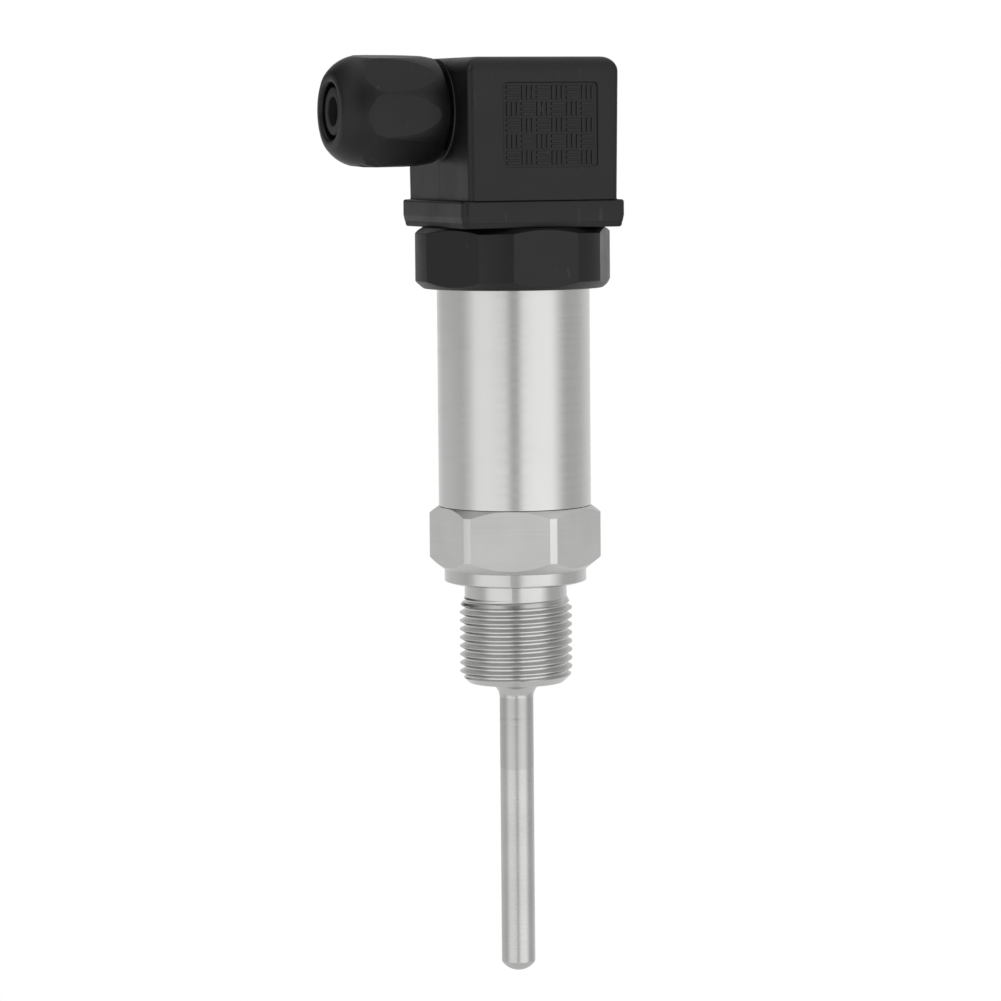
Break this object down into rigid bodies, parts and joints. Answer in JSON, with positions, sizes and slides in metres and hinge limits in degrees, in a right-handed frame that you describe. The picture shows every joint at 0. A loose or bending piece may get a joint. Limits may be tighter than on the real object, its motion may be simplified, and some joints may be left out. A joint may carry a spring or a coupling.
{
  "type": "rtd probe with head",
  "caption": "Screw-in resistance thermometer: thin immersion stem, threaded hexagon fitting, round steel body and a square black cable plug with gland.",
  "frame": {"origin": "on the probe's axis, in the plane of the fitting's sealing face under the collar", "axes": "+Z along the axis from the stem towards the plug, -X along the cable gland"},
  "size_m": [0.0515, 0.0332, 0.1632],
  "materials": {
    "stem_steel": "satin drawn stainless tube",
    "fitting_steel": "turned and brushed stainless steel",
    "tube_steel": "ground stainless tube",
    "plug_black": "satin moulded polyamide",
    "base_black": "satin moulded polyamide",
    "gland_black": "satin moulded polyamide",
    "insert_grey": "moulded polyamide",
    "seal_rubber": "nitrile rubber",
    "contact_brass": "rolled brass",
    "tab_tin": "tin-plated brass",
    "screw_steel": "zinc-plated steel",
    "ceramic_white": "fired ceramic",
    "board_green": "glass-epoxy board",
    "chip_black": "moulded epoxy",
    "lead_red": "insulated wire",
    "lead_white": "insulated wire",
    "carrier_cream": "moulded plastic"
  },
  "bodies": {
    "root": {"probe_sheath": "stem_steel", "pt100_element": "ceramic_white", "ceramic_insulator": "ceramic_white", "sensor_leads": "lead_white", "process_fitting": "fitting_steel", "body_o_ring": "seal_rubber", "body_tube": "tube_steel", "board_carrier": "carrier_cream", "circuit_board": "board_green", "board_components": "chip_black", "connector_leads": "lead_red", "contact_tabs": "tab_tin", "earth_tab": "tab_tin", "connector_base": "base_black", "base_o_ring": "seal_rubber", "threaded_insert": "contact_brass", "profile_gasket": "seal_rubber"},
    "plug": {"plug_housing": "plug_black", "contact_insert": "insert_grey", "female_contacts": "contact_brass", "terminal_screws": "screw_steel", "cable_grommet": "seal_rubber"},
    "slip_washer": {"screw_washer": "screw_steel"},
    "central_screw": {"fixing_screw": "screw_steel"},
    "slip_ring": {"gland_washer": "insert_grey"},
    "cable_nut": {"gland_nut": "gland_black"}
  },
  "joints": [
    {"name": "plug_lift", "type": "slide", "parent": "root", "child": "plug", "axis": [0, 0, 1], "range_m": [0, 0.025]},
    {"name": "screw_travel", "type": "slide", "parent": "plug", "child": "slip_washer", "axis": [0, 0, 1], "range_m": [0, 0.006]},
    {"name": "screw_turn", "type": "hinge", "parent": "slip_washer", "child": "central_screw", "pos_m": [0, 0, 0.09], "axis": [0, 0, 1], "range_deg": [0, 4356]},
    {"name": "gland_travel", "type": "slide", "parent": "plug", "child": "slip_ring", "axis": [-1, 0, 0], "range_m": [0, 0.00487]},
    {"name": "gland_turn", "type": "hinge", "parent": "slip_ring", "child": "cable_nut", "pos_m": [-0.025, 0, 0.0835], "axis": [-1, 0, 0], "range_deg": [0, 1181]}
  ],
  "couplings": [
    {"joint": "screw_turn", "follows": "screw_travel", "rad_per_m": 12566},
    {"joint": "gland_turn", "follows": "gland_travel", "rad_per_m": 4188.8}
  ]
}
